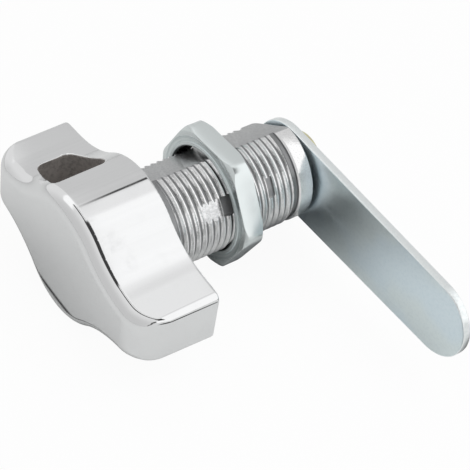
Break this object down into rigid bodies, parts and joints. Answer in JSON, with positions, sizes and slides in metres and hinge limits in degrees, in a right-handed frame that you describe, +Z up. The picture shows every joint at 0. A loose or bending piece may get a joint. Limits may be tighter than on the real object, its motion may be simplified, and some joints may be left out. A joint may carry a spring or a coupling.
{
  "type": "twist cabinet lock",
  "caption": "Panel-mounted twist lock: a wing knob with a padlock hole turns a flat cam through a threaded barrel held by a hex nut.",
  "frame": {"origin": "on the lock's axis, in the plane of the door's front face on which the flange sits", "axes": "+Y runs along the lock from the knob to the cam, +X points along the wings and the cam when the lock is shut, +Z is up"},
  "size_m": [0.0723, 0.0531, 0.0264],
  "materials": {
    "chrome_plate": "bright chrome on a zinc casting",
    "nickel_plate": "bright plating on a zinc casting",
    "zinc_plate": "blue-white zinc plating on pressed steel",
    "yellow_zinc": "pale yellow zinc plating on steel",
    "spindle_steel": "plain steel",
    "seal_rubber": "oiled black rubber"
  },
  "bodies": {
    "housing": {"barrel": "nickel_plate", "detent_ball": "spindle_steel", "detent_spring": "spindle_steel"},
    "rotor": {"knob": "chrome_plate", "grub_screw": "spindle_steel", "spindle": "spindle_steel", "seal_ring": "seal_rubber", "stop_plate": "zinc_plate", "cam_spacer": "zinc_plate", "cam": "zinc_plate", "spring_washer": "yellow_zinc", "cam_screw": "yellow_zinc"},
    "nut": {"hex_nut": "zinc_plate"}
  },
  "joints": [
    {"name": "knob_turn", "type": "hinge", "parent": "housing", "child": "rotor", "pos_m": [0, 0, 0], "axis": [0, 1, 0], "range_deg": [-90, 0]},
    {"name": "nut_travel", "type": "slide", "parent": "housing", "child": "nut", "axis": [0, 1, 0], "range_m": [-0.0105, 0.0093]}
  ]
}
